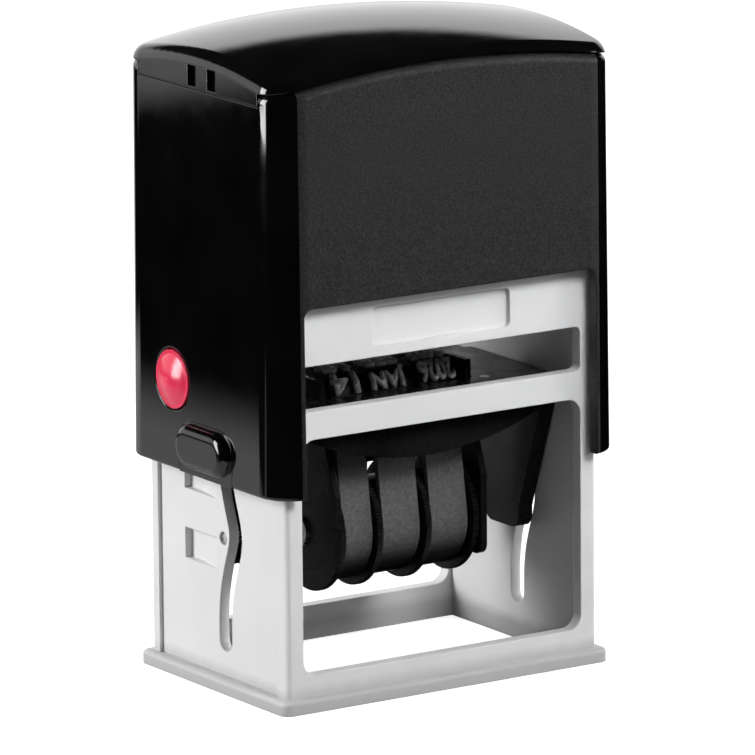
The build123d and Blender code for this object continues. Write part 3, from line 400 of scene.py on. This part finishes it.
def dress_nodes():
    """Every CAD node gets the material of its record slot, but the pivot caps have a gloss of their own."""
    pivot_black = gloss_plastic("pivot_cap_black", grey(0.0015), grey(0.0035), roughness=(0.06, 0.11))
    finishes = {
        "frame_grey": frame_plastic(),
        "housing_black": housing_plastic(),
        "cap_smoke": gloss_plastic("cap_black_gloss", grey(0.0012), grey(0.003), roughness=(0.05, 0.09),
                                   ripple=0.05),
        "card": card_stock(),
        "lock_red": lock_plastic(),
        "carrier_black": gloss_plastic("carrier_black_plastic", grey(0.004), grey(0.009),
                                       roughness=(0.20, 0.32), ripple=0.12, shine=0.15),
        "band_rubber": band_rubber(),
        "wheel_black": matte_plastic("wheel_black_plastic", grey(0.003), grey(0.008)),
        "steel": steel("turned_steel", (0.1, 1, 1), (0.50, 0.50, 0.51), (0.62, 0.62, 0.63)),
        "spring_steel": steel("spring_wire", (1, 1, 0.3), (0.42, 0.42, 0.44), (0.56, 0.56, 0.58)),
        "pad_felt": felt(),
        "tray_black": matte_plastic("tray_black_plastic", grey(0.012), (0.026, 0.026, 0.027)),
    }
    for entry in frame["record"]["subparts"]:
        node = frame["nodes"][entry["node"]]
        material = finishes[entry["material_slot"]]
        if entry["node"].startswith("pivot_cap"):
            material = pivot_black
        node.data.materials.clear()
        node.data.materials.append(material)
        for polygon in node.data.polygons:
            polygon.material_index = 0


def loop_point(distance):
    """A point (y, z) on the outside of a date band and its outward direction.

    Distance 0 is the middle of the nose, and it grows down the back of the band.
    """
    climb = NOSE_Z - AXLE_Z
    slope = math.asin((DRUM_OUTER - NOSE_OUTER) / math.hypot(NOSE_HALF_FLAT, climb))
    side_turn = math.pi / 2 + slope - math.atan2(NOSE_HALF_FLAT, climb)
    side = 1 if distance >= 0 else -1
    travel = abs(distance)
    if travel <= NOSE_HALF_FLAT:
        return (AXLE_Y + side * travel, NOSE_Z + NOSE_OUTER), (0.0, 1.0)
    travel -= NOSE_HALF_FLAT
    turn = min(travel / NOSE_OUTER, side_turn)
    straight = travel - turn * NOSE_OUTER
    out = (side * math.sin(turn), math.cos(turn))
    along = (side * math.cos(turn), -math.sin(turn))
    y = AXLE_Y + side * NOSE_HALF_FLAT + NOSE_OUTER * out[0] + straight * along[0]
    z = NOSE_Z + NOSE_OUTER * out[1] + straight * along[1]
    return (y, z), out


def flat_letters(name, text):
    """The text as flat faces in a mesh, before it is scaled and bent."""
    curve = bpy.data.curves.new(name, "FONT")
    curve.body = text
    curve.size = 1.0
    curve.align_x = "CENTER"
    curve.align_y = "CENTER"
    curve.resolution_u = LETTER_STEPS
    curve.offset = LETTER_WEIGHT
    flat = bpy.data.objects.new(name + "_flat", curve)
    SCENE.collection.objects.link(flat)
    bpy.context.view_layer.update()
    mesh = bpy.data.meshes.new_from_object(flat.evaluated_get(bpy.context.evaluated_depsgraph_get()))
    bpy.data.objects.remove(flat)
    bpy.data.curves.remove(curve)
    return mesh


def type_row(name, text, middle_x, row, width, body, material):
    """One row of raised, mirrored type, bent round the band's loop."""
    mesh = flat_letters(name, text)
    edit = bmesh.new()
    edit.from_mesh(mesh)
    bmesh.ops.remove_doubles(edit, verts=edit.verts, dist=SAME_POINT)
    xs = [v.co.x for v in edit.verts]
    ys = [v.co.y for v in edit.verts]
    text_x, text_y = (min(xs) + max(xs)) / 2, (min(ys) + max(ys)) / 2
    x_scale, y_scale = width / (max(xs) - min(xs)), TYPE_SIZE / (max(ys) - min(ys))
    bmesh.ops.subdivide_edges(edit, edges=edit.edges, cuts=1)
    bmesh.ops.triangulate(edit, faces=edit.faces)
    top = bmesh.ops.extrude_face_region(edit, geom=edit.faces[:])
    raised = {v for v in top["geom"] if isinstance(v, bmesh.types.BMVert)}
    for vert in edit.verts:
        across = -(vert.co.x - text_x) * x_scale
        travel = row * ROW_PITCH + NOSE_ROW - (vert.co.y - text_y) * y_scale
        point, out = loop_point(travel)
        lift = TYPE_RELIEF if vert in raised else -TYPE_SINK
        vert.co = (middle_x + across, point[0] + out[0] * lift, point[1] + out[1] * lift)
    bmesh.ops.recalc_face_normals(edit, faces=edit.faces)
    edit.to_mesh(mesh)
    edit.free()
    mesh.materials.clear()
    mesh.materials.append(material)
    piece = bpy.data.objects.new(name, mesh)
    SCENE.collection.objects.link(piece)
    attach(piece, body)


def type_rows(material):
    """Plain dates round each band: days, months and years."""
    rows = {
        "day": ("14", "15", "16", "17", "18", "19"),
        "month": ("JAN", "FEB", "MAR", "APR", "MAY", "JUN"),
        "year": ("2026", "2027", "2028", "2029", "2030", "2031"),
    }
    for band, words in rows.items():
        low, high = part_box(f"date_band_{band}")
        middle_x, width = (low.x + high.x) / 2, (high.x - low.x) * TYPE_FILL
        for step, word in enumerate(words):
            type_row(f"type_{band}_{step}", word, middle_x, step - ROWS_IN_FRONT, width, "carrier", material)


def coil_spring():
    """A copy of the return spring's own shape, attached to the frame, in place of the hidden CAD spring."""
    node = frame["nodes"]["return_spring"]
    coil = bpy.data.objects.new("return_spring_coil", node.data.copy())
    SCENE.collection.objects.link(coil)
    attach(coil, "frame")
    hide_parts("return_spring")
    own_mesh(coil)


def set_camera():
    """The photograph's camera, far off with a long lens."""
    azimuth, elevation = CAMERA_AZIMUTH, CAMERA_ELEVATION
    back = Vector((math.sin(azimuth) * math.cos(elevation), -math.cos(azimuth) * math.cos(elevation),
                   math.sin(elevation)))
    right = Vector((math.cos(azimuth), math.sin(azimuth), 0))
    up = back.cross(right)
    place = CAMERA_TARGET + back * CAMERA_DISTANCE + right * CAMERA_SHIFT[0] + up * CAMERA_SHIFT[1]
    rolled_right = right * math.cos(CAMERA_ROLL) + up * math.sin(CAMERA_ROLL)
    rolled_up = up * math.cos(CAMERA_ROLL) - right * math.sin(CAMERA_ROLL)
    data = bpy.data.cameras.new("camera")
    data.sensor_width = SENSOR_WIDTH
    data.lens = FOCAL_PIXELS * SENSOR_WIDTH / IMAGE_SIZE
    data.clip_start = CLIP_NEAR
    data.clip_end = CLIP_FAR
    camera = bpy.data.objects.new("camera", data)
    SCENE.collection.objects.link(camera)
    turn = Matrix((rolled_right, rolled_up, back)).transposed().to_4x4()
    camera.matrix_world = Matrix.Translation(place) @ turn
    SCENE.camera = camera


def gloss_zones(s):
    """Painted reflections: how bright the floor glows to the gloss beside the object, behind it, in a streak
    and at a far end.
    """
    x, y, _ = s.place()
    beside = s.product(s.rise(x, BESIDE_LEFT), s.fall(x, BESIDE_RIGHT, smooth=False),
                       s.rise(y, BESIDE_FRONT), s.fall(y, BESIDE_BACK))
    cut = s.math("SUBTRACT", y, s.math("MULTIPLY", x, BEHIND_SLOPE))
    behind = s.product(s.rise(x, BEHIND_LEFT, smooth=False), s.rise(y, BEHIND_FRONT, smooth=False),
                       s.rise(cut, BEHIND_CUT))
    line = s.math("ADD", s.math("ADD", y, s.math("MULTIPLY", x, STREAK_SLOPE)), STREAK_OFFSET)
    streak = s.product(s.fall(s.math("ABSOLUTE", line), STREAK_HALF, level=STREAK_LEVEL),
                       s.rise(x, STREAK_LEFT), s.fall(x, STREAK_RIGHT, smooth=False))
    end = s.product(s.rise(y, END_FRONT, level=END_LEVEL), s.fall(x, END_RIGHT, smooth=False))
    painted_reflection = s.product(beside, BESIDE_LEVEL)
    for zone in (behind, streak, end):
        painted_reflection = s.math("MAXIMUM", painted_reflection, zone)
    return painted_reflection


def pale_floor():
    """Nearly white to the camera, glowing in zones to the gloss as painted reflections, and dim to every
    other ray.
    """
    s = Shading("pale_floor")
    diffuse = s.add("ShaderNodeBsdfDiffuse", {"Color": s.clouds(s.noise(3), grey(0.46), grey(0.50))})
    away = s.add("ShaderNodeVectorMath", {0: s.coordinates}, operation="LENGTH").outputs["Value"]
    glow = s.add("ShaderNodeEmission", {"Strength": s.spread(away, *FLOOR_GLOW, *GLOW_GROWS)})
    seen = s.add("ShaderNodeAddShader", {0: diffuse.outputs[0], 1: glow.outputs[0]})
    # Painted reflection: the floor glows in these zones for glossy rays only
    painted_reflection_glow = s.add("ShaderNodeEmission", {"Strength": gloss_zones(s)})
    bounce = s.add("ShaderNodeBsdfDiffuse", {"Color": opaque(grey(FLOOR_BOUNCE))})
    unseen = s.by_ray("Is Glossy Ray", painted_reflection_glow.outputs[0], otherwise=bounce.outputs[0])
    s.show(s.by_ray("Is Camera Ray", seen.outputs[0], otherwise=unseen))
    return s.material


def add_floor():
    """A pale floor that keeps the object's shadow."""
    near, far = -FLOOR_HALF, FLOOR_HALF
    mesh = bpy.data.meshes.new("floor")
    mesh.from_pydata([(near, near, 0), (far, near, 0), (far, far, 0), (near, far, 0)], [], [(0, 1, 2, 3)])
    mesh.materials.append(pale_floor())
    floor = bpy.data.objects.new("floor", mesh)
    SCENE.collection.objects.link(floor)


def set_world():
    """White to the camera, a bright low backdrop behind the object to the gloss, soft grey to the rest."""
    world = bpy.data.worlds.new("studio")
    SCENE.world = world
    world.use_nodes = True
    n = Nodes(world.node_tree, "ShaderNodeOutputWorld")

    def background(tone, strength):
        return n.add("ShaderNodeBackground", {"Color": opaque(grey(tone)), "Strength": strength}).outputs[0]

    _, y, z = n.parts(n.add("ShaderNodeTexCoord").outputs["Generated"])
    behind = n.spread(y, *BACKDROP_LEVELS, *BACKDROP_BEHIND, smooth=True)
    below_top = n.spread(z, 1.0, ABOVE_BACKDROP, *BACKDROP_TOP, smooth=True)
    backdrop = background(BACKDROP_TONE, n.product(behind, below_top))
    unseen = n.by_ray("Is Glossy Ray", backdrop, otherwise=background(1.0, SOFT_LEVEL))
    n.show(n.by_ray("Is Camera Ray", background(1.0, 1.0), otherwise=unseen))


def add_light(name, place, aim_z, size, power):
    """A soft rectangular lamp at a place, turned to a height on the object's middle line."""
    data = bpy.data.lights.new(name, "AREA")
    data.shape = "RECTANGLE"
    data.size, data.size_y = size
    data.energy = power
    lamp = bpy.data.objects.new(name, data)
    SCENE.collection.objects.link(lamp)
    lamp.location = place
    lamp.rotation_euler = (Vector((0, 0, aim_z)) - Vector(place)).to_track_quat("-Z", "Y").to_euler()
    return lamp


def light_scene():
    """A narrow key and a low fill in front, one lamp at each side, and one overhead.

    The front lamps and the overhead one light the object but leave no bright patches in its gloss.
    """
    key = add_light("key_front", place=(0.06, -0.40, 0.37), aim_z=0.078, size=(0.22, 0.22), power=0.142)
    key.data.spread = KEY_SPREAD
    low = add_light("low_front", place=(-0.10, -0.90, 0.25), aim_z=0.05, size=(0.60, 0.30), power=0.25)
    add_light("fill_right", place=(0.62, -0.42, 0.26), aim_z=0.06, size=(0.25, 0.25), power=2.0)
    add_light("box_left", place=(-0.39, 0.18, 0.166), aim_z=0.166, size=(0.16, 0.30), power=2.1)
    overhead = add_light("overhead", place=(0.05, 0.25, 1.0), aim_z=0.08, size=(0.6, 0.4), power=4.0)
    for lamp in (key, low, overhead):
        lamp.visible_glossy = False


dress_nodes()
type_rows(type_rubber())
coil_spring()
set_camera()
add_floor()
set_world()
light_scene()
SCENE.view_settings.view_transform = "Standard"
